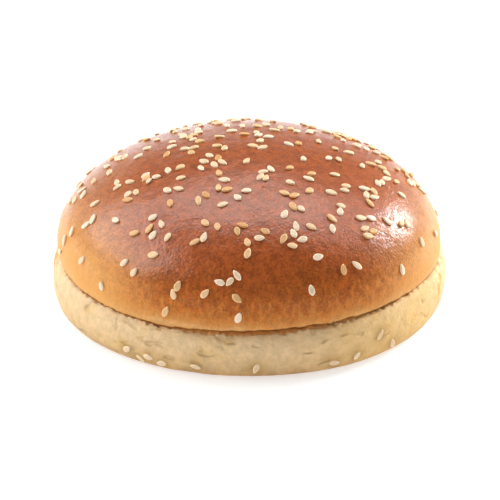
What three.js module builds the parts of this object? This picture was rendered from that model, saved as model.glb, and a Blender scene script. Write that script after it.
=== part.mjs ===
// A sliced sesame burger bun, in millimetres, +Z up.
// It is two baked pieces, the flat heel below and the domed crown resting on it, split by one
// level knife cut, with sesame seeds stuck to the crust as pieces of their own.
// The origin is the centre of the flat underside, on the surface that the bun stands on.
import * as THREE from "three";

// --- Driving dimensions -------------------------------------------------------------------

const GAP = 0.3; // clearance between pieces that touch

// The heel: a flat foot, a rounded wall, and the cut face on top.
const HEEL_HEIGHT = 14.4;
const HEEL_RADIUS = 58.1; // at its widest
const HEEL_WIDEST_AT = 8.4; // height of the widest ring
const HEEL_FOOT_RADIUS = 54.0; // the flat underside
const HEEL_CUT_RADIUS = 55.5; // the cut face
const HEEL_FOOT_ROUNDNESS = 2.8; // exponent of the wall's lower curve, 2 being an ellipse

// The crown: the cut face below, a short tuck, then a low dome.
const CROWN_RADIUS = 56.4; // at its widest
const CROWN_HEIGHT = 33.0;
const CROWN_TUCK_HEIGHT = 3.0; // from the cut face up to the widest ring
const CROWN_TUCK_DEPTH = 1.0; // how far the cut face lies inside the widest ring
const DOME_SIDE_POWER = 1.8; // exponents of the dome's section, 2 and 2 being an ellipse
const DOME_TOP_POWER = 2.17;

// Oven-grown unevenness: the outline swells a little twice and four times round.
const SWELL_TWICE = 0.0035;
const SWELL_FOUR_TIMES = 0.002;

// Sesame seeds: flat teardrops.
const SEED_LENGTH = 3.2;
const SEED_WIDTH = 1.9;
const SEED_THICKNESS = 0.9;
const SEED_POINTEDNESS = 0.8; // exponent at the pointed end, 0.5 being a round end
const CROWN_SEEDS = 47;
const SEED_SPREAD = 0.93; // share of the crown's radius that the seeds reach
const SEED_STRAY = 2.4; // how far a seed lies from its even place, at most
const GOLDEN_ANGLE = Math.PI * (3 - Math.sqrt(5));

// The few seeds that rolled down and stuck to the heel: degrees round from the front (-Y),
// towards +X, and height above the underside.
const HEEL_SEED_PLACES = [
  [-36, 4.3], [-32, 2.4], [-29, 3.6], [-25, 2.6], [-15, 3.3], [2, 3.7],
  [24, 3.0], [31, 3.7], [39, 8.0], [44, 3.5], [172, 4.0],
];

// Facets.
const ROUND_FACETS = 60;
const DOME_RINGS = 13;
const WALL_RINGS = 5;
const SEED_SIDES = 8;
const SEED_RINGS = 6;

// --- Materials ----------------------------------------------------------------------------

const crownCrust = new THREE.MeshStandardMaterial({
  name: "glazed_crust", color: 0xa85f33, roughness: 0.35, metalness: 0,
});
const heelCrust = new THREE.MeshStandardMaterial({
  name: "pale_crust", color: 0xe6c48e, roughness: 0.85, metalness: 0,
});
const seedHull = new THREE.MeshStandardMaterial({
  name: "sesame_hull", color: 0xf3dfb4, roughness: 0.5, metalness: 0,
});

// --- Helpers ------------------------------------------------------------------------------

// Repeatable numbers from 0 to 1.
function makeDice(start) {
  const MODULUS = 2147483647;
  const MULTIPLIER = 16807;
  let state = start;
  return () => {
    state = (state * MULTIPLIER) % MODULUS;
    return state / MODULUS;
  };
}

// Points of a quarter curve from one corner to the other. 'from' and 'to' are [radius, height].
// The curve leaves 'from' along the radius and arrives at 'to' along the height; the exponent
// sets how square its shoulder is.
function quarterCurve(from, to, rings, exponent) {
  const points = [];
  for (let i = 0; i <= rings; i++) {
    const turn = (Math.PI / 2) * (i / rings);
    const across = Math.sin(turn) ** (2 / exponent);
    const along = 1 - Math.cos(turn) ** (2 / exponent);
    points.push(new THREE.Vector2(
      from[0] + (to[0] - from[0]) * across,
      from[1] + (to[1] - from[1]) * along,
    ));
  }
  return points;
}

function swell(angle) {
  return 1 + SWELL_TWICE * Math.cos(2 * angle) + SWELL_FOUR_TIMES * Math.sin(4 * angle);
}

// A closed body turned round +Z from a profile of [radius, height] that starts and ends on
// the axis, swelled slightly out of round.
function turnedBody(profile) {
  const geometry = new THREE.LatheGeometry(profile, ROUND_FACETS);
  geometry.rotateX(Math.PI / 2);
  const place = geometry.getAttribute("position");
  for (let i = 0; i < place.count; i++) {
    const factor = swell(Math.atan2(place.getY(i), place.getX(i)));
    place.setXY(i, place.getX(i) * factor, place.getY(i) * factor);
  }
  geometry.computeVertexNormals();
  return geometry;
}

// --- Bread --------------------------------------------------------------------------------

const CROWN_BASE = HEEL_HEIGHT + GAP;
const CROWN_WIDEST_AT = CROWN_BASE + CROWN_TUCK_HEIGHT;
const DOME_RISE = CROWN_HEIGHT - GAP - CROWN_TUCK_HEIGHT;

function makeHeel() {
  const widest = [HEEL_RADIUS, HEEL_WIDEST_AT];
  const upper = quarterCurve([HEEL_CUT_RADIUS, HEEL_HEIGHT], widest, WALL_RINGS, 2).reverse();
  const profile = [
    new THREE.Vector2(0, 0),
    ...quarterCurve([HEEL_FOOT_RADIUS, 0], widest, WALL_RINGS, HEEL_FOOT_ROUNDNESS),
    ...upper.slice(1),
    new THREE.Vector2(0, HEEL_HEIGHT),
  ];
  return new THREE.Mesh(turnedBody(profile), heelCrust);
}

function makeCrown() {
  const profile = [
    new THREE.Vector2(0, CROWN_BASE),
    ...quarterCurve(
      [CROWN_RADIUS - CROWN_TUCK_DEPTH, CROWN_BASE], [CROWN_RADIUS, CROWN_WIDEST_AT], 3, 2,
    ),
  ];
  for (let i = 1; i <= DOME_RINGS; i++) {
    const turn = (Math.PI / 2) * (i / DOME_RINGS);
    const last = i === DOME_RINGS;
    profile.push(new THREE.Vector2(
      last ? 0 : CROWN_RADIUS * Math.cos(turn) ** (2 / DOME_SIDE_POWER),
      CROWN_WIDEST_AT + DOME_RISE * Math.sin(turn) ** (2 / DOME_TOP_POWER),
    ));
  }
  return new THREE.Mesh(turnedBody(profile), crownCrust);
}

// --- Seeds --------------------------------------------------------------------------------

// A seed lying flat: its pointed end along +X, its width along Y, its thickness along Z.
function seedGeometry() {
  const outline = (s) => Math.sqrt(1 + s) * (1 - s) ** SEED_POINTEDNESS;
  const widestAt = (0.5 - SEED_POINTEDNESS) / (0.5 + SEED_POINTEDNESS);
  const profile = [];
  for (let i = 0; i <= SEED_RINGS; i++) {
    const s = -Math.cos(Math.PI * (i / SEED_RINGS));
    const end = i === 0 || i === SEED_RINGS;
    profile.push(new THREE.Vector2(end ? 0 : outline(s) / outline(widestAt), s));
  }
  const geometry = new THREE.LatheGeometry(profile, SEED_SIDES);
  geometry.rotateZ(-Math.PI / 2);
  geometry.scale(SEED_LENGTH / 2, SEED_WIDTH / 2, SEED_THICKNESS / 2);
  return geometry;
}

// A point of the dome and the direction straight out of it, at a distance from the axis.
function onDome(radius, angle) {
  const share = Math.min(radius / CROWN_RADIUS, 1);
  const rise = (1 - share ** DOME_SIDE_POWER) ** (1 / DOME_TOP_POWER);
  const slopeOut = (DOME_SIDE_POWER * share ** (DOME_SIDE_POWER - 1)) / CROWN_RADIUS;
  const slopeUp = (DOME_TOP_POWER * rise ** (DOME_TOP_POWER - 1)) / DOME_RISE;
  return {
    point: new THREE.Vector3(
      radius * Math.cos(angle), radius * Math.sin(angle), CROWN_WIDEST_AT + DOME_RISE * rise,
    ),
    out: new THREE.Vector3(
      slopeOut * Math.cos(angle), slopeOut * Math.sin(angle), slopeUp,
    ).normalize(),
  };
}

// A point of the heel's lower wall and the direction straight out of it, at a height.
function onHeelWall(height, angle) {
  const depth = 1 - height / HEEL_WIDEST_AT;
  const power = HEEL_FOOT_ROUNDNESS;
  const reach = (1 - depth ** power) ** (1 / power);
  const bulge = HEEL_RADIUS - HEEL_FOOT_RADIUS;
  const radius = HEEL_FOOT_RADIUS + bulge * reach;
  const slopeOut = reach ** (power - 1) / bulge;
  const slopeDown = depth ** (power - 1) / HEEL_WIDEST_AT;
  return {
    point: new THREE.Vector3(radius * Math.cos(angle), radius * Math.sin(angle), height),
    out: new THREE.Vector3(
      slopeOut * Math.cos(angle), slopeOut * Math.sin(angle), -slopeDown,
    ).normalize(),
  };
}

// A seed lying on the crust at a place, clear of it by the gap, turned about the outward
// direction by 'spin'.
function makeSeed(name, place, spin) {
  const seed = new THREE.Mesh(seedGeometry(), seedHull);
  seed.name = name;
  const factor = swell(Math.atan2(place.point.y, place.point.x));
  seed.position.set(place.point.x * factor, place.point.y * factor, place.point.z);
  seed.position.addScaledVector(place.out, GAP + SEED_THICKNESS / 2);
  seed.quaternion.setFromUnitVectors(new THREE.Vector3(0, 0, 1), place.out);
  seed.rotateZ(spin);
  return seed;
}

function twoDigits(number) {
  return String(number).padStart(2, "0");
}

// Seeds strewn over the crown: an even spiral, each one strayed from its place.
function makeCrownSeeds() {
  const seeds = new THREE.Group();
  const dice = makeDice(4711);
  for (let i = 0; i < CROWN_SEEDS; i++) {
    const evenRadius = CROWN_RADIUS * SEED_SPREAD * Math.sqrt((i + 0.5) / CROWN_SEEDS);
    const radius = Math.abs(evenRadius + SEED_STRAY * (2 * dice() - 1));
    const angle = i * GOLDEN_ANGLE + (SEED_STRAY * (2 * dice() - 1)) / Math.max(radius, SEED_LENGTH);
    const spin = 2 * Math.PI * dice();
    seeds.add(makeSeed(`crown_seed_${twoDigits(i + 1)}`, onDome(radius, angle), spin));
  }
  return seeds;
}

function makeHeelSeeds() {
  const seeds = new THREE.Group();
  const dice = makeDice(1234);
  HEEL_SEED_PLACES.forEach(([bearing, height], i) => {
    const angle = THREE.MathUtils.degToRad(bearing - 90);
    const spin = 2 * Math.PI * dice();
    seeds.add(makeSeed(`heel_seed_${twoDigits(i + 1)}`, onHeelWall(height, angle), spin));
  });
  return seeds;
}

// --- The bun ------------------------------------------------------------------------------

const bun = new THREE.Group();
const heel = makeHeel();
heel.name = "heel";
const crown = makeCrown();
crown.name = "crown";
bun.add(heel, crown, makeCrownSeeds(), makeHeelSeeds());

export default bun;
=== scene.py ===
"""A sliced sesame burger bun: the glazed crown, the pale heel and the strewn seeds, in metres."""

import math
import random

import bpy
import numpy as np
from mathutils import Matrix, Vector, noise
from mathutils.bvhtree import BVHTree


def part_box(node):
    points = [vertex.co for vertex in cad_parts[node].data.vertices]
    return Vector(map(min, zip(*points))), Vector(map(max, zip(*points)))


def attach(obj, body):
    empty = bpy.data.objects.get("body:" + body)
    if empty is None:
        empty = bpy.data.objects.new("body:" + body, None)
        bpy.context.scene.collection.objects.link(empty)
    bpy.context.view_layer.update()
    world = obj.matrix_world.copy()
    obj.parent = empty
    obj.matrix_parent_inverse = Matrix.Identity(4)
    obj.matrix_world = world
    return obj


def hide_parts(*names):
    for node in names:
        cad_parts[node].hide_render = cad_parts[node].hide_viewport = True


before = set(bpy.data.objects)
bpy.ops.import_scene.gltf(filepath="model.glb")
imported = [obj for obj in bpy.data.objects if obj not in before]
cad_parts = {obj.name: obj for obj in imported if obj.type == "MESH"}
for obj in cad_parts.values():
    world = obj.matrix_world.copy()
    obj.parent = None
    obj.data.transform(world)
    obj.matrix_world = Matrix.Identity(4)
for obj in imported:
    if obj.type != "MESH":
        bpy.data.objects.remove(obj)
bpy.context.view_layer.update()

MM = 0.001

# --- Camera -------------------------------------------------------------------------------

CAMERA_AIM = Vector((0.0002, 0.0, 0.0130))
CAMERA_ELEVATION = math.radians(24.75)
CAMERA_DISTANCE = 0.6045
CAMERA_NEAREST = 0.01
CAMERA_LENS = 146.3  # the lens and the sensor in millimetres
CAMERA_SENSOR = 36.0


def make_camera():
    """A long lens looking along +Y and down at the front of the bun."""
    data = bpy.data.cameras.new("camera")
    data.lens = CAMERA_LENS
    data.sensor_width = CAMERA_SENSOR
    data.clip_start = CAMERA_NEAREST
    camera = bpy.data.objects.new("camera", data)
    back = Vector((0, -math.cos(CAMERA_ELEVATION), math.sin(CAMERA_ELEVATION)))
    camera.location = CAMERA_AIM + CAMERA_DISTANCE * back
    camera.rotation_euler = back.to_track_quat("Z", "Y").to_euler()
    bpy.context.scene.collection.objects.link(camera)
    bpy.context.scene.camera = camera


make_camera()

# --- Sizes, taken from the frame, in millimetres --------------------------------------------

heel_low, heel_high = (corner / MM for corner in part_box("heel"))
crown_low, crown_high = (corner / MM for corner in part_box("crown"))

SWELL_TWICE = 0.0035  # how far out of round both halves are, as shares of their radius
SWELL_FOUR_TIMES = 0.002

HEEL_HEIGHT = heel_high.z
HEEL_RADIUS = (heel_high.x - heel_low.x) / 2 / (1 + SWELL_TWICE)
HEEL_WIDEST_AT = 0.583 * HEEL_HEIGHT
HEEL_FOOT_RADIUS = 0.929 * HEEL_RADIUS
HEEL_CUT_RADIUS = 0.955 * HEEL_RADIUS

CROWN_BASE = crown_low.z
CROWN_TOP = crown_high.z
CROWN_RADIUS = (crown_high.x - crown_low.x) / 2 / (1 + SWELL_TWICE)
CROWN_TUCK_HEIGHT = 3.0  # the crown is widest this far above the cut
CROWN_TUCK_DEPTH = 1.0  # and turns in by so much on its way down to it

ROUND_POWER = 2  # of the outlines' curves: a circle; a higher power is squarer
HEEL_FOOT_POWER = 2.8
DOME_SIDE_POWER = 1.8
DOME_TOP_POWER = 2.17

# How far the cut stands open past the frame's own gap. Each pair is a number of degrees, to
# both sides of the opening's middle, between which a part of it ends or starts.
OPENING_BEARING = 3
OPENING_MOUTH = 0.75
MOUTH_ENDS = (8, 36)
OPENING_CORNERS = 0.52
CORNERS_END = (36, 80)
OPENING_BEHIND = 0.5
BEHIND_STARTS = (125, 170)
OPENING_SHUT = 0.22
CUT_BOW = 1.9
CUT_BOW_BEARING = -18
CUT_BOW_REACH = 75

RIM_POINTS = 960  # points round each edge of the cut
FEWEST_POINTS = 60  # a ring with more than these halves them,
CLOSEST_POINTS = 0.62  # once their spacing falls below this share of the rim's

# --- Small helpers --------------------------------------------------------------------------

NOISE_STEP = Vector((17.3, 5.1, 9.7))  # from one number's noise to the next


def smooth(low, high, value):
    """0 below low, 1 above high, and a smooth step between."""
    t = np.clip((value - low) / (high - low), 0, 1)
    return t * t * (3 - 2 * t)


def fade(reach, distance):
    """1 at no distance, and a smooth step down to 0 at the reach."""
    return 1 - smooth(0, reach, distance)


def noise_at(points, size, number):
    """Smooth noise from -1 to 1 at points in mm, with lumps of a size in mm; one per number."""
    shift = NOISE_STEP * number
    return np.array([noise.noise(Vector(p) / size + shift) for p in points])


def lumps_at(points, kinds):
    """Swelling in mm from kinds of lump: (height, size, noise number, how much flatter)."""
    return sum(
        height * noise_at(points * [1, 1, flatter], size, number)
        for height, size, number, flatter in kinds
    )


def swell(angle):
    """How much wider than round the bun is at an angle, as a factor."""
    return 1 + SWELL_TWICE * np.cos(2 * angle) + SWELL_FOUR_TIMES * np.sin(4 * angle)


def off_bearing(angle, bearing):
    """Degrees between an angle and a bearing, which counts from the front towards +X."""
    return np.abs(np.degrees(np.angle(np.exp(1j * (angle + math.pi / 2 - math.radians(bearing))))))


def cut_opening(angle):
    """How far the cut stands open past the frame's own gap, in mm; at the sides it's pressed shut."""
    off = off_bearing(angle, OPENING_BEARING)
    mouth = OPENING_MOUTH * (1 - smooth(*MOUTH_ENDS, off))
    corners = OPENING_CORNERS * (1 - smooth(*CORNERS_END, off))
    behind = OPENING_BEHIND * smooth(*BEHIND_STARTS, off)
    return mouth + corners + behind - OPENING_SHUT


def cut_bow(angle):
    """How far the cut dips, in mm, where the knife went in."""
    return CUT_BOW * fade(CUT_BOW_REACH, off_bearing(angle, CUT_BOW_BEARING))


def quarter_curve(start, end, steps, power):
    """From start along the radius, to end along the height; points of [radius, height]."""
    turn = np.linspace(0, math.pi / 2, steps + 1)
    across = np.sin(turn) ** (2 / power)
    along = 1 - np.clip(np.cos(turn), 0, 1) ** (2 / power)
    return np.column_stack([
        start[0] + (end[0] - start[0]) * across,
        start[1] + (end[1] - start[1]) * along,
    ])


def along_profile(profile, shares):
    """Points and normals at shares of a profile's length, and that length.

    The normals point left of the profile's run, which is outwards if it runs downwards.
    """
    steps = np.linalg.norm(np.diff(profile, axis=0), axis=1)
    distance = np.concatenate([[0], np.cumsum(steps)])
    at = np.asarray(shares) * distance[-1]
    point = np.column_stack([np.interp(at, distance, profile[:, i]) for i in (0, 1)])
    slope = np.gradient(profile, distance, axis=0)
    run = np.column_stack([np.interp(at, distance, slope[:, i]) for i in (0, 1)])
    run /= np.linalg.norm(run, axis=1)[:, None]
    return point, np.column_stack([-run[:, 1], run[:, 0]]), distance[-1]


def turn_round(point, normal, angle):
    """A profile's points and normals, each turned to its angle round the bun, and the way out."""
    outward = np.column_stack([np.cos(angle), np.sin(angle), np.zeros(len(angle))])
    up = np.array([0.0, 0.0, 1.0])
    placed = point[:, :1] * swell(angle)[:, None] * outward + point[:, 1:] * up
    return placed, normal[:, :1] * outward + normal[:, 1:] * up, outward


def finish_mesh(name, points, faces, material):
    """A smooth-shaded mesh object from points in mm."""
    mesh = bpy.data.meshes.new(name)
    mesh.from_pydata((np.asarray(points) * MM).tolist(), [], faces)
    mesh.validate()
    mesh.shade_smooth()
    mesh.materials.append(material)
    piece = bpy.data.objects.new(name, mesh)
    bpy.context.scene.collection.objects.link(piece)
    return piece


def mark_points(piece, name, values):
    """Stores a number at each of a piece's points, for its material to read."""
    piece.data.attributes.new(name, "FLOAT", "POINT").data.foreach_set("value", values)


def close_inwards(points, faces, rim, rings, surface, facing):
    """Closes a rim with rings of ever fewer points, down to one in the middle.

    'rim' holds indexes in order of angle from 0. 'rings' are shares of the rim's radius, and
    surface(points, share) gives each ring's points. 'facing' is +1 for a face that looks up.
    """
    loop = list(rim)
    rim_points = np.array([points[i] for i in rim])
    step = 1
    for share in rings:
        halve = len(loop) > FEWEST_POINTS and share * RIM_POINTS / len(loop) < CLOSEST_POINTS
        if halve:
            step *= 2
        ring = surface(rim_points[::step], share)
        start = len(points)
        points.extend(ring.tolist())
        new = list(range(start, start + len(ring)))
        for i in range(len(new)):
            j = (i + 1) % len(new)
            if halve:
                a, b, c = loop[2 * i], loop[2 * i + 1], loop[(2 * i + 2) % len(loop)]
                found = [(a, b, new[i]), (b, new[j], new[i]), (b, c, new[j])]
            else:
                found = [(loop[i], loop[j], new[j], new[i])]
            faces.extend(found if facing > 0 else [face[::-1] for face in found])
        loop = new
    centre = surface(rim_points[:1], 0)[0]
    points.append(centre.tolist())
    for i in range(len(loop)):
        face = (loop[i], loop[(i + 1) % len(loop)], len(points) - 1)
        faces.append(face if facing > 0 else face[::-1])


# --- The cut --------------------------------------------------------------------------------

# Where the rings of a cut face lie, as shares of its radius: close together near its edge
CUT_RINGS = np.concatenate([np.linspace(0.994, 0.86, 14), np.linspace(0.82, 0.05, 20)])

TEAR_STEP_SIZE = 4.5  # how long a torn edge's steps, teeth and rough places are
TEAR_STEP_SHARPNESS = 6
TEAR_TOOTH_SIZE = 0.9
TEAR_PATCH_SIZE = 9

PORES = ((0.5, 1.7), (0.25, 0.8))  # the crumb's large and small pores: depth and size


def torn_edge(points, steps, teeth, number):
    """A torn crumb edge's unevenness in mm: flat steps with small teeth, rougher in places."""
    stepped = 0.5 * steps * np.tanh(TEAR_STEP_SHARPNESS * noise_at(points, TEAR_STEP_SIZE, number))
    toothed = teeth * noise_at(points, TEAR_TOOTH_SIZE, number + 1)
    patches = 0.8 + 0.8 * noise_at(points, TEAR_PATCH_SIZE, number + 2)
    return (stepped + toothed) * patches


def cut_face(level, radius, edge_ends, pores_start, number, side):
    """A surface for close_inwards: the porous face of a cut, from its torn edge inwards.

    The edge's unevenness ends, and the pores start, within so many mm. 'side' is +1 if the
    crumb lies above the cut and -1 if it lies below.
    """
    def surface(rim_points, share):
        ring_points = rim_points * [share, share, 1]
        inward = (1 - share) * radius
        bow = cut_bow(np.arctan2(rim_points[:, 1], rim_points[:, 0]))
        edge = rim_points[:, 2] - (level - bow)
        ring_points[:, 2] = level - bow * share**3 + edge * (1 - smooth(*edge_ends, inward))
        pores = sum(
            depth * np.abs(noise_at(ring_points, size, number + i))
            for i, (depth, size) in enumerate(PORES)
        )
        ring_points[:, 2] += side * pores * smooth(0, pores_start, inward)
        return ring_points

    return surface


# --- The crown ------------------------------------------------------------------------------

DOME_RINGS = RIM_POINTS // 8
DOME_CROWDING = 0.42  # its rings lie closer together towards the cut
DOME_STEPS = 400  # points down its outline, and down the tuck below
TUCK_STEPS = 40

CROWN_LUMPS = ((0.45, 26, 1, 1), (0.16, 9, 2, 1), (0.05, 3.2, 3, 1), (0.022, 1.5, 4, 1))
CROWN_CALMEST = 0.35  # the share of the lumps that is left at the cut,
CROWN_CALM_REACH = 6  # and how far up they're weaker
CROWN_LIFT_REACH = 13  # how far up the cut's bow and opening bend the dome
CROWN_TEAR_REACH = 0.9  # how far up the cut's edge is torn,
CROWN_FRAY_REACH = 0.8  # and worn back


def crown_profile():
    """From the apex down the dome to the cut edge."""
    turn = np.linspace(math.pi / 2, 0, DOME_STEPS)
    widest = CROWN_BASE + CROWN_TUCK_HEIGHT
    dome = np.column_stack([
        CROWN_RADIUS * np.clip(np.cos(turn), 0, 1) ** (2 / DOME_SIDE_POWER),
        widest + (CROWN_TOP - widest) * np.sin(turn) ** (2 / DOME_TOP_POWER),
    ])
    cut_edge = (CROWN_RADIUS - CROWN_TUCK_DEPTH, CROWN_BASE)
    tuck = quarter_curve(cut_edge, (CROWN_RADIUS, widest), TUCK_STEPS, ROUND_POWER)[::-1]
    return np.concatenate([dome, tuck[1:]])


def dome_net(rings):
    """A square net wrapped round a disc: each point's ring and angle, the faces, and the rim."""
    side = 2 * rings + 1
    i, j = np.meshgrid(np.arange(side) - rings, np.arange(side) - rings, indexing="ij")
    ring = np.maximum(np.abs(i), np.abs(j))
    safe = np.maximum(ring, 1)
    sideways = np.abs(i) >= np.abs(j)
    angle = np.where(
        sideways,
        np.where(i > 0, j / safe, 4 - j / safe),
        np.where(j > 0, 2 - i / safe, 6 + i / safe),
    ) * (math.pi / 4)
    number = np.arange(side * side).reshape(side, side)
    faces = np.column_stack([
        number[:-1, :-1].ravel(), number[1:, :-1].ravel(),
        number[1:, 1:].ravel(), number[:-1, 1:].ravel(),
    ])
    rim = number[ring == rings]
    order = np.argsort(np.mod(angle[ring == rings], 2 * math.pi))
    return ring.ravel(), angle.ravel(), faces.tolist(), rim[order].tolist()


def make_crown(material):
    """The dome, wrinkled a little, and its torn cut face."""
    ring, angle, faces, rim = dome_net(DOME_RINGS)
    share = ring / DOME_RINGS
    share = share * (1 + DOME_CROWDING - DOME_CROWDING * share)
    point, normal, length = along_profile(crown_profile(), share)
    flat, normal, outward = turn_round(point, normal, angle)

    from_cut = (1 - share) * length
    lumps = lumps_at(flat, CROWN_LUMPS)
    lumps *= CROWN_CALMEST + (1 - CROWN_CALMEST) * smooth(0, CROWN_CALM_REACH, from_cut)
    placed = flat + normal * lumps[:, None]
    lift = (cut_opening(angle) - cut_bow(angle)) * fade(CROWN_LIFT_REACH, from_cut)
    tear = torn_edge(flat, steps=0.62, teeth=0.50, number=31) * fade(CROWN_TEAR_REACH, from_cut)
    placed[:, 2] += lift + tear
    frayed = np.abs(torn_edge(flat, steps=0.1, teeth=0.3, number=36))
    placed -= outward * (frayed * fade(CROWN_FRAY_REACH, from_cut))[:, None]
    points = placed.tolist()

    crust_points = len(points)
    face = cut_face(
        CROWN_BASE, CROWN_RADIUS, edge_ends=(0.9, 2.0), pores_start=0.8, number=7, side=1
    )
    close_inwards(points, faces, rim, CUT_RINGS, face, -1)
    crown = finish_mesh("crown_bread", points, faces, material)
    mark_points(crown, "cut_face", np.arange(len(points)) >= crust_points)
    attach(crown, "root")
    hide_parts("crown")
    return crown


# --- The heel -------------------------------------------------------------------------------

WALL_RINGS = 48
WALL_STEPS = 60  # points down each half of the wall's outline
UNDERSIDE_RINGS = np.linspace(0.98, 0.04, 24)

HEEL_LUMPS = ((0.30, 20, 11, 1), (0.16, 7, 12, 1.6), (0.06, 2.6, 13, 1), (0.025, 1.3, 14, 1))
HEEL_CALMEST = 0.3  # the share of the lumps that is left at the cut,
HEEL_CALM_REACH = 2  # and how far down they're weaker
HEEL_FOOT_REACH = 3  # how far above the floor they start
HEEL_BOW_REACH = 8  # how far down the cut's bow bends the wall
HEEL_TEAR_REACH = 1.1  # how far down the cut's edge is torn


def heel_profile():
    """From the edge of the cut face down the wall to the underside."""
    widest = (HEEL_RADIUS, HEEL_WIDEST_AT)
    upper = quarter_curve((HEEL_CUT_RADIUS, HEEL_HEIGHT), widest, WALL_STEPS, ROUND_POWER)
    lower = quarter_curve((HEEL_FOOT_RADIUS, 0.0), widest, WALL_STEPS, HEEL_FOOT_POWER)[::-1]
    return np.concatenate([upper, lower[1:]])


def underside(rim_points, share):
    """A surface for close_inwards: flat on the floor."""
    return rim_points * [share, share, 0]


def make_heel(material):
    """The pale lower half: a soft dented wall, a torn cut face and a flat underside."""
    angle = np.tile(np.arange(RIM_POINTS) * (2 * math.pi / RIM_POINTS), WALL_RINGS + 1)
    share = np.repeat(np.arange(WALL_RINGS + 1) / WALL_RINGS, RIM_POINTS)
    point, normal, length = along_profile(heel_profile(), share)
    flat, normal, _ = turn_round(point, normal, angle)

    from_cut = share * length
    from_foot = (1 - share) * length
    calm = HEEL_CALMEST + (1 - HEEL_CALMEST) * smooth(0, HEEL_CALM_REACH, from_cut)
    lumps = lumps_at(flat, HEEL_LUMPS) * (smooth(0, HEEL_FOOT_REACH, from_foot) * calm)
    placed = flat + normal * lumps[:, None]
    placed[:, 2] -= cut_bow(angle) * fade(HEEL_BOW_REACH, from_cut)
    tear = torn_edge(flat, steps=0.45, teeth=0.85, number=41)
    placed[:, 2] += tear * fade(HEEL_TEAR_REACH, from_cut)
    placed[:, 2] = np.maximum(placed[:, 2], 0)
    points = placed.tolist()
    faces = []
    for k in range(WALL_RINGS):
        row, below = k * RIM_POINTS, (k + 1) * RIM_POINTS
        for i in range(RIM_POINTS):
            j = (i + 1) % RIM_POINTS
            faces.append((row + i, below + i, below + j, row + j))

    crust_points = len(points)
    face = cut_face(
        HEEL_HEIGHT, HEEL_CUT_RADIUS, edge_ends=(0, 3), pores_start=0.6, number=17, side=-1
    )
    close_inwards(points, faces, range(RIM_POINTS), CUT_RINGS, face, 1)
    cut_points = len(points)
    foot = range(WALL_RINGS * RIM_POINTS, (WALL_RINGS + 1) * RIM_POINTS)
    close_inwards(points, faces, foot, UNDERSIDE_RINGS, underside, -1)
    heel = finish_mesh("heel_bread", points, faces, material)
    number = np.arange(len(points))
    mark_points(heel, "cut_face", (number >= crust_points) & (number < cut_points))
    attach(heel, "root")
    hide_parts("heel")
    return heel


# --- Materials ------------------------------------------------------------------------------

CROWN_BAKE = (  # the crown's colour from the cut, at 0, towards its top, at 1
    (0.00, (0.68, 0.36, 0.125)), (0.03, (0.61, 0.26, 0.060)), (0.10, (0.54, 0.175, 0.026)),
    (0.22, (0.43, 0.112, 0.012)), (0.40, (0.36, 0.081, 0.009)), (0.60, (0.36, 0.075, 0.009)),
    (0.85, (0.33, 0.072, 0.010)),
)
CROWN_FLANK = (0.74, 0.365, 0.10)
DARKEST_ACROSS = 4.0  # the oven browned the crown most so many mm right of its middle,
GLOSSIEST_ACROSS = -10.0  # and the egg wash lies thickest left of it

HEEL_BAKE = (  # the heel's colour from its foot, at 0, up to the cut, at 1
    (0.00, (0.44, 0.23, 0.09)), (0.08, (0.54, 0.33, 0.145)), (0.25, (0.68, 0.465, 0.235)),
    (0.70, (0.76, 0.545, 0.305)), (0.90, (0.77, 0.565, 0.325)), (1.00, (0.80, 0.62, 0.39)),
)
HEEL_GOLD = (0.80, 0.50, 0.16)
HEEL_SPECK = (0.70, 0.38, 0.08)
# the colour of the painted shade in the heel's dents
HEEL_DENT_SHADE = (0.58, 0.35, 0.13)
# the colour of the painted contact shade round the seeds sunk in the heel
SEED_SHADE_COLOUR = (0.42, 0.24, 0.055)

BAKED_SPOTS = (  # places on the heel in mm, and how far each browned spot reaches
    ((-57.0, -4.0, 11.5), 4.5), ((-57.8, 2.0, 8.5), 3.0), ((54.8, -18.5, 9.0), 2.0),
    ((55.6, -16.0, 11.6), 1.5), ((40.0, 42.0, 8.0), 3.0),
)
BAKED_SPOT = (0.70, 0.32, 0.06)
SPOT_CORE = 0.3  # the share of a spot's reach that is browned evenly
SPOT_RAGGED = 6.0  # how far noise moves its edge, in mm

CRUMB = (0.82, 0.66, 0.40)
# the brown band near the crust: painted shade for the gap between the halves, partly toasted crumb
CRUMB_TOASTED_SHADE = (0.88, 0.53, 0.22)
CRUMB_RIM = (0.83, 0.57, 0.27)
GAP_SHADE_WIDTH = 9.0  # the brown outer band of both cut faces in mm, painted shade for the gap between the halves and partly toasted crumb,
RIM_WIDTH = 0.7  # and the pale rim left round it
RIM_BLUR = 0.6

HULL = (  # the seeds' colour from raw, at 0, to the most toasted, at 1
    (0.00, (0.99, 0.85, 0.65)), (0.60, (0.95, 0.75, 0.49)),
    (0.80, (0.90, 0.62, 0.31)), (1.00, (0.80, 0.42, 0.14)),
)
HULL_FACE = (0.83, 0.74, 0.69)  # how much of each colour is left inside a seed's rim


def new_material(name):
    """A material with an empty node tree but for its Principled shader."""
    material = bpy.data.materials.new(name)
    material.use_nodes = True
    return material, material.node_tree, material.node_tree.nodes["Principled BSDF"]


def add(tree, kind, inputs=None, **settings):
    """A node with its settings, and its inputs given as numbers, colours or other sockets."""
    node = tree.nodes.new(kind)
    for key, value in settings.items():
        setattr(node, key, value)
    for key, value in (inputs or {}).items():
        if isinstance(value, bpy.types.NodeSocket):
            tree.links.new(value, node.inputs[key])
        else:
            node.inputs[key].default_value = value
    return node


def maths(tree, operation, *values, clamp=False):
    """One step of arithmetic on numbers or sockets."""
    inputs = dict(enumerate(values))
    return add(tree, "ShaderNodeMath", inputs, operation=operation, use_clamp=clamp).outputs[0]


def noise_node(tree, vector, size, detail=2.0, roughness=0.5):
    """Noise with lumps of about this size in mm."""
    inputs = {"Vector": vector, "Scale": 1 / (size * MM), "Detail": detail, "Roughness": roughness}
    return add(tree, "ShaderNodeTexNoise", inputs).outputs["Fac"]


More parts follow.
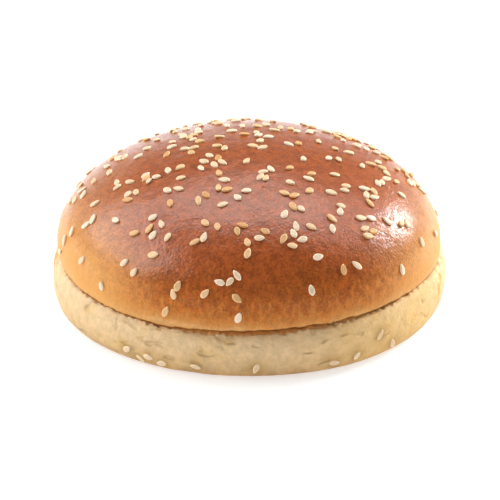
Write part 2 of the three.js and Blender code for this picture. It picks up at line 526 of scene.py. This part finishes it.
def ramp(tree, value, stops):
    """A colour ramp from (position, colour) stops."""
    node = add(tree, "ShaderNodeValToRGB", {"Fac": value})
    elements = node.color_ramp.elements
    while len(elements) < len(stops):
        elements.new(0.5)
    for element, (position, colour) in zip(elements, stops):
        element.position = position
        element.color = (*colour, 1.0)
    return node.outputs["Color"]


def mix_colour(tree, factor, first, second, blend="MIX"):
    """The first colour, and by the factor the second; both are colours or sockets."""
    node = add(tree, "ShaderNodeMix", {"Factor": factor}, data_type="RGBA", blend_type=blend)
    for socket, value in ((node.inputs[6], first), (node.inputs[7], second)):
        if isinstance(value, bpy.types.NodeSocket):
            tree.links.new(value, socket)
        else:
            socket.default_value = (*value, 1.0)
    return node.outputs[2]


def rescale(tree, value, low, high, to_low=0.0, to_high=1.0, kind="SMOOTHSTEP"):
    """A value between low and high, moved to the same share between two others."""
    inputs = {"Value": value, "From Min": low, "From Max": high, "To Min": to_low, "To Max": to_high}
    return add(tree, "ShaderNodeMapRange", inputs, interpolation_type=kind).outputs["Result"]


def shaded(tree, colour, factor):
    """A colour made lighter or darker by a factor."""
    grey = add(tree, "ShaderNodeCombineColor", {"Red": factor, "Green": factor, "Blue": factor})
    return mix_colour(tree, 1.0, colour, grey.outputs[0], "MULTIPLY")


def bump(tree, height, depth, under=None):
    """A bump of so many mm, on top of another bump's normal."""
    inputs = {"Height": height, "Distance": depth * MM, "Strength": 1.0}
    if under is not None:
        inputs["Normal"] = under
    return add(tree, "ShaderNodeBump", inputs).outputs[0]


def marked(tree, name):
    """The number that the piece's points carry under a name."""
    return add(tree, "ShaderNodeAttribute", attribute_name=name).outputs["Fac"]


def make_translucent(shader):
    """Bread lets a little light through, which softens its edges and the shade in the cut."""
    shader.inputs["Subsurface Weight"].default_value = 0.22
    shader.inputs["Subsurface Radius"].default_value = (1.0, 0.75, 0.5)
    shader.inputs["Subsurface Scale"].default_value = 1.3 * MM


def cut_colour(tree, place, radius):
    """Crumb on a cut face: a brown band for the last few mm to the crust, which is painted shade for
    the gap between the halves and partly toasted crumb; cream further in.
    """
    flat = add(tree, "ShaderNodeVectorMath", {0: place, 1: (1.0, 1.0, 0.0)}, operation="MULTIPLY")
    reach = add(tree, "ShaderNodeVectorMath", {0: flat.outputs[0]}, operation="LENGTH")
    reach = reach.outputs["Value"]
    # the brown band is painted shade inside the gap between the halves, partly toasted crumb
    toasted = rescale(tree, reach, (radius - GAP_SHADE_WIDTH) * MM, (radius - GAP_SHADE_WIDTH / 2) * MM)
    rim = radius - RIM_WIDTH
    inside = rescale(tree, reach, (rim - RIM_BLUR) * MM, rim * MM, 1.0, 0.0)
    toasted = maths(tree, "MULTIPLY", toasted, inside)
    crumb = mix_colour(tree, inside, CRUMB_RIM, CRUMB)
    return mix_colour(tree, toasted, crumb, CRUMB_TOASTED_SHADE)


def crust_grain_group():
    """The fine grain that both crusts share: freckled colour, streaks and pebbly relief."""
    group = bpy.data.node_groups.new("crust grain", "ShaderNodeTree")
    for name, value in (("Grain Size", 0.0005), ("Streak", 1.0)):
        socket = group.interface.new_socket(name, in_out="INPUT", socket_type="NodeSocketFloat")
        socket.default_value = value
    for name in ("Freckles", "Streaks", "Relief"):
        group.interface.new_socket(name, in_out="OUTPUT", socket_type="NodeSocketFloat")
    given = add(group, "NodeGroupInput").outputs
    result = add(group, "NodeGroupOutput").inputs
    place = add(group, "ShaderNodeTexCoord").outputs["Object"]
    scale = maths(group, "DIVIDE", 1.0, given["Grain Size"])

    def grains(vector, share, detail):
        """Noise at a share of the grain's own scale."""
        inputs = {"Vector": vector, "Scale": maths(group, "MULTIPLY", scale, share), "Detail": detail}
        return add(group, "ShaderNodeTexNoise", inputs).outputs["Fac"]

    fine = grains(place, 1.0, 3.0)
    coarse = maths(group, "MULTIPLY", grains(place, 0.3, 2.0), 0.4)
    freckles = maths(group, "MULTIPLY_ADD", fine, 0.6, coarse)
    split = add(group, "ShaderNodeSeparateXYZ", {"Vector": place}).outputs
    upwards = maths(group, "DIVIDE", split["Z"], given["Streak"])
    tall = add(group, "ShaderNodeCombineXYZ", {"X": split["X"], "Y": split["Y"], "Z": upwards})
    pebbles = add(group, "ShaderNodeTexVoronoi", {
        "Vector": place, "Scale": maths(group, "MULTIPLY", scale, 0.75), "Smoothness": 0.6,
    }, feature="SMOOTH_F1")
    pits = maths(group, "MULTIPLY", pebbles.outputs["Distance"], 0.7)
    group.links.new(freckles, result["Freckles"])
    group.links.new(grains(tall.outputs[0], 0.6, 3.0), result["Streaks"])
    group.links.new(maths(group, "SUBTRACT", fine, pits), result["Relief"])
    return group


def glazed_crust(grain):
    """Egg-washed crust: pale at the cut, tan, then chestnut over the dome, with a soft gloss."""
    material, tree, shader = new_material("glazed crust")
    place = add(tree, "ShaderNodeTexCoord").outputs["Object"]
    split = add(tree, "ShaderNodeSeparateXYZ", {"Vector": place}).outputs
    own = add(tree, "ShaderNodeGroup", {"Grain Size": 0.7 * MM, "Streak": 3.0}, node_tree=grain)
    own = own.outputs

    def squared_from(across):
        """The square of how far to the side a point is, as a share of the crown's radius."""
        aside = maths(tree, "SUBTRACT", split["X"], across * MM)
        return maths(tree, "POWER", maths(tree, "DIVIDE", aside, CROWN_RADIUS * MM), 2.0)

    height = rescale(tree, split["Z"], CROWN_BASE * MM, CROWN_TOP * MM, kind="LINEAR")
    clouds = maths(tree, "SUBTRACT", noise_node(tree, place, 14, 3), 0.5)
    streaks = maths(tree, "SUBTRACT", own["Streaks"], 0.5)
    aside = squared_from(DARKEST_ACROSS)
    level = maths(tree, "MULTIPLY", height, maths(tree, "MULTIPLY_ADD", aside, -0.42, 1.0))
    level = maths(tree, "MULTIPLY_ADD", clouds, 0.13, level)
    fibrous = rescale(tree, level, 0.04, 0.22, 0.08, 0.58)
    level = maths(tree, "MULTIPLY_ADD", streaks, fibrous, level)
    baked = ramp(tree, level, CROWN_BAKE)
    low = rescale(tree, height, 0.22, 0.66, 0.80, 0.16)
    flanks = maths(tree, "MULTIPLY", rescale(tree, aside, 0.16, 0.75), low)
    baked = mix_colour(tree, flanks, baked, CROWN_FLANK)
    freckled = rescale(tree, own["Freckles"], 0.36, 0.64, -0.28, 0.28)
    freckled = maths(tree, "MULTIPLY", freckled, maths(tree, "MULTIPLY_ADD", flanks, -0.9, 1.0))
    freckled = maths(tree, "MULTIPLY_ADD", freckled, rescale(tree, level, 0.02, 0.22, 0.35, 1.0), 1.0)
    crumb = marked(tree, "cut_face")
    colour = shaded(tree, baked, freckled)
    colour = mix_colour(tree, crumb, colour, cut_colour(tree, place, CROWN_RADIUS))
    tree.links.new(colour, shader.inputs["Base Color"])
    make_translucent(shader)
    rough = rescale(tree, noise_node(tree, place, 5, 2), 0.3, 0.7, 0.42, 0.56)
    rough = maths(tree, "MULTIPLY_ADD", crumb, 0.4, rough)
    tree.links.new(rough, shader.inputs["Roughness"])
    shader.inputs["Specular IOR Level"].default_value = 0.18
    glaze = rescale(tree, maths(tree, "MULTIPLY_ADD", clouds, 0.25, height), 0.12, 0.46, 0.05, 1.0)
    glaze = maths(tree, "MULTIPLY", maths(tree, "SUBTRACT", 1.0, crumb), glaze)
    thinner = maths(tree, "MULTIPLY_ADD", squared_from(GLOSSIEST_ACROSS), -0.36, 1.0)
    glaze = maths(tree, "MULTIPLY", thinner, glaze)
    tree.links.new(glaze, shader.inputs["Coat Weight"])
    shader.inputs["Coat Roughness"].default_value = 0.20
    folds = bump(tree, noise_node(tree, place, 2.6, 2), 0.13)
    wrinkles = bump(tree, noise_node(tree, place, 0.75, 3), 0.13, folds)
    tree.links.new(wrinkles, shader.inputs["Coat Normal"])
    pebbles = bump(tree, own["Relief"], 0.04, wrinkles)
    tree.links.new(pebbles, shader.inputs["Normal"])
    return material


def pale_crust(grain):
    """The heel's matte crust: cream at the cut, buff below, with painted shade in its dents and a tan
    foot.
    """
    material, tree, shader = new_material("pale crust")
    place = add(tree, "ShaderNodeTexCoord").outputs["Object"]
    split = add(tree, "ShaderNodeSeparateXYZ", {"Vector": place}).outputs
    own = add(tree, "ShaderNodeGroup", {"Grain Size": 0.6 * MM, "Streak": 0.6}, node_tree=grain)
    own = own.outputs
    clouds = maths(tree, "SUBTRACT", noise_node(tree, place, 9, 3), 0.5)
    level = rescale(tree, split["Z"], 0.0, HEEL_HEIGHT * MM, kind="LINEAR")
    baked = ramp(tree, maths(tree, "MULTIPLY_ADD", clouds, 0.25, level), HEEL_BAKE)
    freckled = rescale(tree, own["Freckles"], 0.3, 0.7, 0.93, 1.06)
    mottled = rescale(tree, noise_node(tree, place, 2.2, 3), 0.3, 0.7, 0.92, 1.07)
    colour = shaded(tree, baked, maths(tree, "MULTIPLY", freckled, mottled))

    across = maths(tree, "DIVIDE", split["X"], HEEL_RADIUS * MM)
    right = rescale(tree, across, 0.15, 0.65, 0.0, 0.43)
    right = maths(tree, "MULTIPLY", right, rescale(tree, across, 0.86, 0.98, 1.0, 0.2))
    golden = rescale(tree, noise_node(tree, place, 6.5, 3), 0.52, 0.70)
    golden = maths(tree, "MULTIPLY_ADD", golden, 0.27, right, clamp=True)
    colour = mix_colour(tree, golden, colour, HEEL_GOLD)
    specks = rescale(tree, noise_node(tree, place, 1.3, 2), 0.55, 0.72)
    colour = mix_colour(tree, maths(tree, "MULTIPLY", specks, right), colour, HEEL_SPECK)

    squat = maths(tree, "MULTIPLY", split["Z"], 1.7)
    wide = add(tree, "ShaderNodeCombineXYZ", {"X": split["X"], "Y": split["Y"], "Z": squat})
    dents = rescale(tree, noise_node(tree, wide.outputs[0], 5.5, 1), 0.58, 0.80)
    # the dents are darkened as painted shade, over the hollows that the bump below makes
    colour = mix_colour(tree, maths(tree, "MULTIPLY", dents, 0.48), colour, HEEL_DENT_SHADE)
    for spot, reach in BAKED_SPOTS:
        away = add(tree, "ShaderNodeVectorMath", {0: place, 1: Vector(spot) * MM}, operation="DISTANCE")
        ragged = maths(tree, "MULTIPLY_ADD", clouds, -SPOT_RAGGED * MM, away.outputs["Value"])
        frayed = noise_node(tree, place, 2.5, 3)
        ragged = maths(tree, "MULTIPLY_ADD", frayed, SPOT_RAGGED * MM, ragged)
        core = SPOT_CORE * reach + SPOT_RAGGED / 2
        edge = reach + SPOT_RAGGED / 2
        browned = rescale(tree, ragged, core * MM, edge * MM, 0.85, 0.0)
        colour = mix_colour(tree, browned, colour, BAKED_SPOT)
    # painted contact shade round each seed sunk in the heel
    seed_shaded = maths(tree, "MULTIPLY", marked(tree, "seed_shade"), 0.75)
    colour = mix_colour(tree, seed_shaded, colour, SEED_SHADE_COLOUR)
    crumb = cut_colour(tree, place, HEEL_CUT_RADIUS)
    colour = mix_colour(tree, marked(tree, "cut_face"), colour, crumb)
    tree.links.new(colour, shader.inputs["Base Color"])
    make_translucent(shader)
    shader.inputs["Roughness"].default_value = 0.72
    shader.inputs["Specular IOR Level"].default_value = 0.25
    waves = bump(tree, noise_node(tree, place, 5.0, 2), 0.6)
    hollows = bump(tree, maths(tree, "MULTIPLY", dents, -1.0), 0.8, waves)
    grains = bump(tree, own["Relief"], 0.1, hollows)
    tree.links.new(grains, shader.inputs["Normal"])
    return material


def sesame_hull():
    """Cream seed hulls with a greyer face inside the rim, and a few toasted ones."""
    material, tree, shader = new_material("sesame hull")
    rim_colour = ramp(tree, marked(tree, "seed_toast"), HULL)
    face_colour = mix_colour(tree, 1.0, rim_colour, HULL_FACE, "MULTIPLY")
    colour = mix_colour(tree, marked(tree, "seed_face"), rim_colour, face_colour)
    tree.links.new(colour, shader.inputs["Base Color"])
    shader.inputs["Roughness"].default_value = 0.42
    place = add(tree, "ShaderNodeTexCoord").outputs["Object"]
    tree.links.new(bump(tree, noise_node(tree, place, 0.4, 2), 0.04), shader.inputs["Normal"])
    return material


# --- Seeds ----------------------------------------------------------------------------------

SEED_LENGTH = 3.2
SEED_WIDTH = 1.95
SEED_THICKNESS = 0.85
SEED_SIZE_VARIATION = 0.11
SEED_TILT = 0.16
SEED_TAPER = ((0.0, 0.92), (0.3, 1.0), (0.6, 0.90), (0.85, 0.68), (1.0, 0.5))  # down its length
SEED_LEVELS = (  # a ball's height to a seed's: flatter above, with a rim round a sunk face
    (0.0, 0.0), (0.12, 0.08), (0.5, 0.5), (0.72, 0.84), (0.83, 0.96), (0.93, 0.90), (1.0, 0.87),
)
SEED_CLEARANCE = 1.25  # the least distance between the middles or ends of two seeds
FINGER_REACH = 0.85  # from a seed's middle to the points that stand for its ends

CROWN_SEED_COUNT = 290
CROWN_SEED_SINK = 0.16
CROWN_TOASTED = (0.0, 1.0)
SEED_SPREAD = 0.97  # the seeds reach this share of the crown's radius,
SPREAD_POWER = 0.43  # a little denser at the rim than an even spread's 0.5,
SPREAD_THINS = (0.78, 0.93)  # until they thin out between these shares,
SPREAD_THINNED = 0.75  # and so many of them are left out
PLACES_TRIED = 4
CLUMP_SIZES = (1, 1, 1, 2, 2, 3, 3, 5)
CLUMP_REACH = (1.6, 3.6)
LOW_SEEDS = (  # bearings, and millimetres above the cut, of a few that rolled down
    (-24, 3.5), (-3, 4.0), (-22, 9.0), (-21, 11.8), (18, 11.0), (29, 16.0), (34, 16.5), (-36, 13.0),
    (-47, 5.0), (-58, 9.0), (50, 9.0), (64, 13.0), (-70, 14.0), (96, 8.0), (150, 7.0), (-130, 9.0),
)

HEEL_SEED_SINK = 0.48
HEEL_TOASTED = (0.48, 0.70)
HEEL_EXTRA_BEARINGS = (112, 128, 151, 200, 221, 246)
SEED_SHADE_REACH = 2.4  # how far the painted shade round a seed in the heel reaches

PLACING_SEED = 20  # fixed, so that every run strews the seeds alike
CROWN_RANDOM_SEED = 3
HEEL_RANDOM_SEED = 8


def cad_seeds(prefix):
    """The middle and the long direction of each of the frame's seeds, in mm."""
    found = []
    for name in sorted(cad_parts):
        if name.startswith(prefix):
            co = np.array([v.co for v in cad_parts[name].data.vertices]) / MM
            middle = (co.min(axis=0) + co.max(axis=0)) / 2
            spread = np.linalg.svd(co - co.mean(axis=0), full_matrices=False)[2]
            found.append((middle, spread[0]))
    return found


def seat(tree, point, along):
    """Where a seed lies on the crust nearest to a point: place, outward and long directions."""
    place, out, _, _ = tree.find_nearest(Vector(point) * MM)
    along = Vector(along)
    along = (along - along.dot(out) * out).normalized()
    return np.array(place) / MM, np.array(out), np.array(along)


def fingers(place, along):
    """Three points down a seed's length, to keep neighbours apart."""
    return [place + along * reach for reach in (-FINGER_REACH, 0.0, FINGER_REACH)]


def bare_place(dice, taken):
    """The emptiest of a few random places on the crown, seen from above; few lie near the edge."""
    found = []
    while len(found) < PLACES_TRIED:
        share = SEED_SPREAD * dice.random() ** SPREAD_POWER
        turn = dice.uniform(0, 2 * math.pi)
        if dice.random() < 1 - SPREAD_THINNED * smooth(*SPREAD_THINS, share):
            found.append(CROWN_RADIUS * share * np.array([math.cos(turn), math.sin(turn)]))
    return max(found, key=lambda spot: min(np.hypot(*(other[:2] - spot)) for other in taken))


def crown_seats(tree, dice):
    """The frame's seeds, and many more strewn singly and in small clumps."""
    seats = [seat(tree, *seed) for seed in cad_seeds("crown_seed")]
    taken = [p for s in seats for p in fingers(s[0], s[2])]
    for bearing, height in LOW_SEEDS:
        turn = math.radians(bearing - 90)
        point = (CROWN_RADIUS * math.cos(turn), CROWN_RADIUS * math.sin(turn), CROWN_BASE + height)
        found = seat(tree, point, (dice.uniform(-0.7, 0.7), dice.uniform(-0.7, 0.7), 1.0))
        seats.append(found)
        taken.extend(fingers(found[0], found[2]))
    while len(seats) < CROWN_SEED_COUNT:
        start = bare_place(dice, taken)
        for number in range(dice.choice(CLUMP_SIZES)):
            reach = dice.uniform(*CLUMP_REACH) if number else 0.0
            turn = dice.uniform(0, 2 * math.pi)
            spin = dice.uniform(0, 2 * math.pi)
            spot = start + reach * np.array([math.cos(turn), math.sin(turn)])
            share = min(np.hypot(*spot) / CROWN_RADIUS, 0.99)
            height = CROWN_BASE + (CROWN_TOP - CROWN_BASE) * math.sqrt(1 - share**2)
            found = seat(tree, (*spot, height), (math.cos(spin), math.sin(spin), 0.3))
            own = fingers(found[0], found[2])
            if min(np.linalg.norm(a - b) for a in own for b in taken) > SEED_CLEARANCE:
                seats.append(found)
                taken.extend(own)
    return seats


def heel_seats(tree, dice):
    """The frame's seeds on the heel, and a few more round its hidden sides."""
    seats = [seat(tree, *seed) for seed in cad_seeds("heel_seed")]
    for bearing in HEEL_EXTRA_BEARINGS:
        turn = math.radians(bearing + dice.uniform(-6, 6) - 90)
        point = (HEEL_RADIUS * math.cos(turn), HEEL_RADIUS * math.sin(turn), dice.uniform(2.5, 6))
        seats.append(seat(tree, point, [dice.uniform(-1, 1) for _ in range(3)]))
    return seats


def seed_tree(material):
    """Geometry Nodes: a teardrop seed on every point, lying along the point's directions."""
    tree = bpy.data.node_groups.new("strewn seeds", "GeometryNodeTree")
    tree.interface.new_socket("Geometry", in_out="INPUT", socket_type="NodeSocketGeometry")
    for name in (
        "Seed Length", "Seed Width", "Seed Thickness", "Size Variation", "Tilt",
        "Least Toasted", "Most Toasted",
    ):
        tree.interface.new_socket(name, in_out="INPUT", socket_type="NodeSocketFloat")
    tree.interface.new_socket("Random Seed", in_out="INPUT", socket_type="NodeSocketInt")
    tree.interface.new_socket("Geometry", in_out="OUTPUT", socket_type="NodeSocketGeometry")
    given = add(tree, "NodeGroupInput").outputs

    def times(*values):
        """The product of two or more numbers or sockets."""
        product = values[0]
        for value in values[1:]:
            product = maths(tree, "MULTIPLY", product, value)
        return product

    def curve(value, stops):
        """A value sent through a smooth curve with the given (from, to) stops."""
        node = add(tree, "ShaderNodeFloatCurve", {"Value": value})
        line = node.mapping.curves[0]
        line.points[0].location = stops[0]
        line.points[1].location = stops[-1]
        for stop in stops[1:-1]:
            line.points.new(*stop)
        node.mapping.update()
        return node.outputs["Value"]

    def stored(geometry, name, value):
        """The geometry, with a number stored at each of its points."""
        inputs = {"Geometry": geometry, "Name": name, "Value": value}
        node = add(tree, "GeometryNodeStoreNamedAttribute", inputs, data_type="FLOAT", domain="POINT")
        return node.outputs[0]

    def direction(name):
        """The direction that each point carries under a name."""
        node = add(tree, "GeometryNodeInputNamedAttribute", {"Name": name}, data_type="FLOAT_VECTOR")
        return node.outputs[0]

    def random_value(low, high, number):
        """A random number for each seed; 'number' tells one such draw from the next."""
        drawn = maths(tree, "ADD", given["Random Seed"], float(number))
        inputs = {2: low, 3: high, "Seed": drawn}  # 2 and 3 are its limits as plain numbers
        return add(tree, "FunctionNodeRandomValue", inputs, data_type="FLOAT").outputs[1]

    ball = add(tree, "GeometryNodeMeshUVSphere", {"Segments": 12, "Rings": 7, "Radius": 1.0})
    position = add(tree, "GeometryNodeInputPosition").outputs[0]
    split = add(tree, "ShaderNodeSeparateXYZ", {"Vector": position})
    x, y, z = (split.outputs[axis] for axis in "XYZ")
    taper = curve(maths(tree, "MULTIPLY_ADD", x, 0.5, 0.5), SEED_TAPER)
    level = curve(maths(tree, "MULTIPLY_ADD", z, 0.5, 0.5), SEED_LEVELS)
    tall = maths(tree, "MULTIPLY_ADD", level, 2.0, -1.0)
    shape = add(tree, "ShaderNodeCombineXYZ", {
        "X": times(x, 0.5, given["Seed Length"]),
        "Y": times(y, taper, 0.5, given["Seed Width"]),
        "Z": times(tall, 0.5, given["Seed Thickness"]),
    })
    inner = add(tree, "ShaderNodeMapRange", {"Value": z, "From Min": 0.50, "From Max": 0.78})
    ball = stored(ball.outputs["Mesh"], "seed_face", inner.outputs[0])
    seed = add(tree, "GeometryNodeSetPosition", {"Geometry": ball, "Position": shape.outputs[0]})
    soft = add(tree, "GeometryNodeSetShadeSmooth", {"Geometry": seed.outputs[0]})

    upright = add(tree, "FunctionNodeAlignRotationToVector", {"Vector": direction("out")}, axis="Z")
    laid = add(tree, "FunctionNodeAlignRotationToVector", {
        "Rotation": upright.outputs[0], "Vector": direction("along"),
    }, axis="X", pivot_axis="Z")
    lean = add(tree, "ShaderNodeCombineXYZ", {
        "X": times(random_value(-1.0, 1.0, 1), given["Tilt"]),
        "Y": times(random_value(-1.0, 1.0, 2), given["Tilt"]),
    })
    turned = add(tree, "FunctionNodeEulerToRotation", {"Euler": lean.outputs[0]})
    leaned = add(tree, "FunctionNodeRotateRotation", {
        "Rotation": laid.outputs[0], "Rotate By": turned.outputs[0],
    }, rotation_space="LOCAL")
    variation = given["Size Variation"]
    stretch = add(tree, "ShaderNodeCombineXYZ", {
        axis: maths(tree, "MULTIPLY_ADD", random_value(-1.0, 1.0, 3 + i), variation, 1.0)
        for i, axis in enumerate("XYZ")
    })
    toast = random_value(given["Least Toasted"], given["Most Toasted"], 7)
    strewn = add(tree, "GeometryNodeInstanceOnPoints", {
        "Points": stored(given["Geometry"], "seed_toast", toast), "Instance": soft.outputs[0],
        "Rotation": leaned.outputs[0], "Scale": stretch.outputs[0],
    })
    real = add(tree, "GeometryNodeRealizeInstances", {"Geometry": strewn.outputs[0]})
    painted = add(tree, "GeometryNodeSetMaterial", {"Geometry": real.outputs[0], "Material": material})
    result = add(tree, "NodeGroupOutput")
    tree.links.new(painted.outputs[0], result.inputs[0])
    return tree


def strew(name, seats, tree, random_seed, sink, toasted):
    """One mesh of all the seeds at the given seats, sunk so far into the crust."""
    places = np.array([place + out * (SEED_THICKNESS / 2 - sink) for place, out, _ in seats])
    mesh = bpy.data.meshes.new(name + "_places")
    mesh.from_pydata((places * MM).tolist(), [], [])
    for key, column in (("out", 1), ("along", 2)):
        attribute = mesh.attributes.new(key, "FLOAT_VECTOR", "POINT")
        attribute.data.foreach_set("vector", np.array([s[column] for s in seats], np.float32).ravel())
    carrier = bpy.data.objects.new(name + "_places", mesh)
    bpy.context.scene.collection.objects.link(carrier)
    modifier = carrier.modifiers.new("seeds", "NODES")
    modifier.node_group = tree
    values = {
        "Seed Length": SEED_LENGTH * MM, "Seed Width": SEED_WIDTH * MM,
        "Seed Thickness": SEED_THICKNESS * MM, "Size Variation": SEED_SIZE_VARIATION,
        "Tilt": SEED_TILT, "Random Seed": random_seed,
        "Least Toasted": toasted[0], "Most Toasted": toasted[1],
    }
    for item in tree.interface.items_tree:
        if item.in_out == "INPUT" and item.name in values:
            modifier[item.identifier] = values[item.name]
    evaluated = carrier.evaluated_get(bpy.context.evaluated_depsgraph_get())
    made = bpy.data.meshes.new_from_object(evaluated)
    made.name = name
    bpy.data.objects.remove(carrier)
    seeds = bpy.data.objects.new(name, made)
    bpy.context.scene.collection.objects.link(seeds)
    nodes = [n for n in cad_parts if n.startswith(name.split("_")[0] + "_seed")]
    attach(seeds, "root")
    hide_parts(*nodes)
    return seeds


def mark_seed_shade(piece, seats, reach):
    """Marks the crust round each seed, fading over a reach in mm, for the painted shade round it."""
    points = np.array([v.co for v in piece.data.vertices]) / MM
    near = np.zeros(len(points))
    for place, _, _ in seats:
        near = np.maximum(near, np.exp(-(((points - place) / reach) ** 2).sum(axis=1)))
    mark_points(piece, "seed_shade", near)


def surface_tree(piece):
    """A piece's surface, to find the nearest place on."""
    mesh = piece.data
    return BVHTree.FromPolygons([v.co for v in mesh.vertices], [p.vertices for p in mesh.polygons])


# --- Stage ----------------------------------------------------------------------------------

FLOOR_REACH = 6.0
FLOOR_GREY = 0.60
FLOOR_GLOW = 0.55  # a lit floor, so that the bun's shadow stays faint
FAR_GLOW = 0.95  # and further away it fades into the white of the room
GLOW_FADES = (0.20, 1.00)
ROOM_DIM = 0.08  # the room's brightness in reflections
ROOM_FILL = 0.22  # and as soft light from all round

LIGHTS_AIM = Vector((0, 0, 0.02))
LIGHTS = (  # name, degrees from the front towards +X, degrees up, distance, size, watts, glossy
    ("overhead", 180, 66, 0.80, (0.75, 0.42), 3.1, True),
    ("left box", -100, 38, 0.80, (0.90, 0.52), 4.8, True),
    ("left low", -85, 12, 0.80, (0.70, 0.30), 1.8, False),
    ("right high", 120, 54, 0.80, (0.40, 0.30), 0.6, True),
    ("right fill", 109, 20, 0.80, (0.70, 0.40), 3.5, False),
    ("back wall", 180, 6, 1.20, (2.4, 0.45), 2.1, True),
    ("front fill", 0, 30, 0.90, (0.90, 0.50), 0.7, False),
    ("lamp", 122, 28, 0.60, (0.12, 0.12), 2.3, True),
)


def make_floor():
    """A plain pale floor, wide enough for every view."""
    material, tree, shader = new_material("pale floor")
    shader.inputs["Base Color"].default_value = (FLOOR_GREY, FLOOR_GREY, FLOOR_GREY, 1)
    shader.inputs["Roughness"].default_value = 0.9
    shader.inputs["Specular IOR Level"].default_value = 0.0
    shader.inputs["Emission Color"].default_value = (1.0, 1.0, 1.0, 1)
    place = add(tree, "ShaderNodeTexCoord").outputs["Object"]
    away = add(tree, "ShaderNodeVectorMath", {0: place}, operation="LENGTH").outputs["Value"]
    glow = rescale(tree, away, *GLOW_FADES, FLOOR_GLOW, FAR_GLOW)
    tree.links.new(glow, shader.inputs["Emission Strength"])
    mesh = bpy.data.meshes.new("floor")
    corners = [(x * FLOOR_REACH, y * FLOOR_REACH, 0) for x, y in ((-1, -1), (1, -1), (1, 1), (-1, 1))]
    mesh.from_pydata(corners, [], [(0, 1, 2, 3)])
    mesh.materials.append(material)
    floor = bpy.data.objects.new("floor", mesh)
    bpy.context.scene.collection.objects.link(floor)


def softbox(name, bearing, elevation, distance, size, watts, glossy):
    """A soft light facing the bun; one that isn't glossy never shows in the glaze."""
    data = bpy.data.lights.new(name, "AREA")
    data.shape = "RECTANGLE"
    data.size, data.size_y = size
    data.energy = watts
    turn, rise = math.radians(bearing - 90), math.radians(elevation)
    away = Vector((math.cos(turn) * math.cos(rise), math.sin(turn) * math.cos(rise), math.sin(rise)))
    light = bpy.data.objects.new(name, data)
    light.location = LIGHTS_AIM + away * distance
    light.rotation_euler = away.to_track_quat("Z", "Y").to_euler()
    light.visible_camera = False
    light.visible_glossy = glossy
    bpy.context.scene.collection.objects.link(light)


def make_light():
    """The lights, in a room that is white to look at but dim in reflections."""
    for light in LIGHTS:
        softbox(*light)
    world = bpy.data.worlds.new("studio")
    world.use_nodes = True
    tree = world.node_tree
    path = add(tree, "ShaderNodeLightPath").outputs
    strength = maths(tree, "MAXIMUM", path["Is Camera Ray"], ROOM_DIM)
    fill = maths(tree, "MULTIPLY", path["Is Diffuse Ray"], ROOM_FILL)
    strength = maths(tree, "MAXIMUM", strength, fill)
    tree.links.new(strength, tree.nodes["Background"].inputs["Strength"])
    tree.nodes["Background"].inputs["Color"].default_value = (1, 1, 1, 1)
    bpy.context.scene.world = world
    bpy.context.scene.view_settings.view_transform = "Standard"


# --- Putting it together --------------------------------------------------------------------

grain = crust_grain_group()
crown = make_crown(glazed_crust(grain))
heel = make_heel(pale_crust(grain))
seeds = seed_tree(sesame_hull())
dice = random.Random(PLACING_SEED)
crown_places = crown_seats(surface_tree(crown), dice)
strew("crown_seeds", crown_places, seeds, CROWN_RANDOM_SEED, CROWN_SEED_SINK, CROWN_TOASTED)
heel_places = heel_seats(surface_tree(heel), dice)
# marks where the painted shade round the heel's seeds goes
mark_seed_shade(heel, heel_places, SEED_SHADE_REACH)
strew("heel_seeds", heel_places, seeds, HEEL_RANDOM_SEED, HEEL_SEED_SINK, HEEL_TOASTED)
make_floor()
make_light()
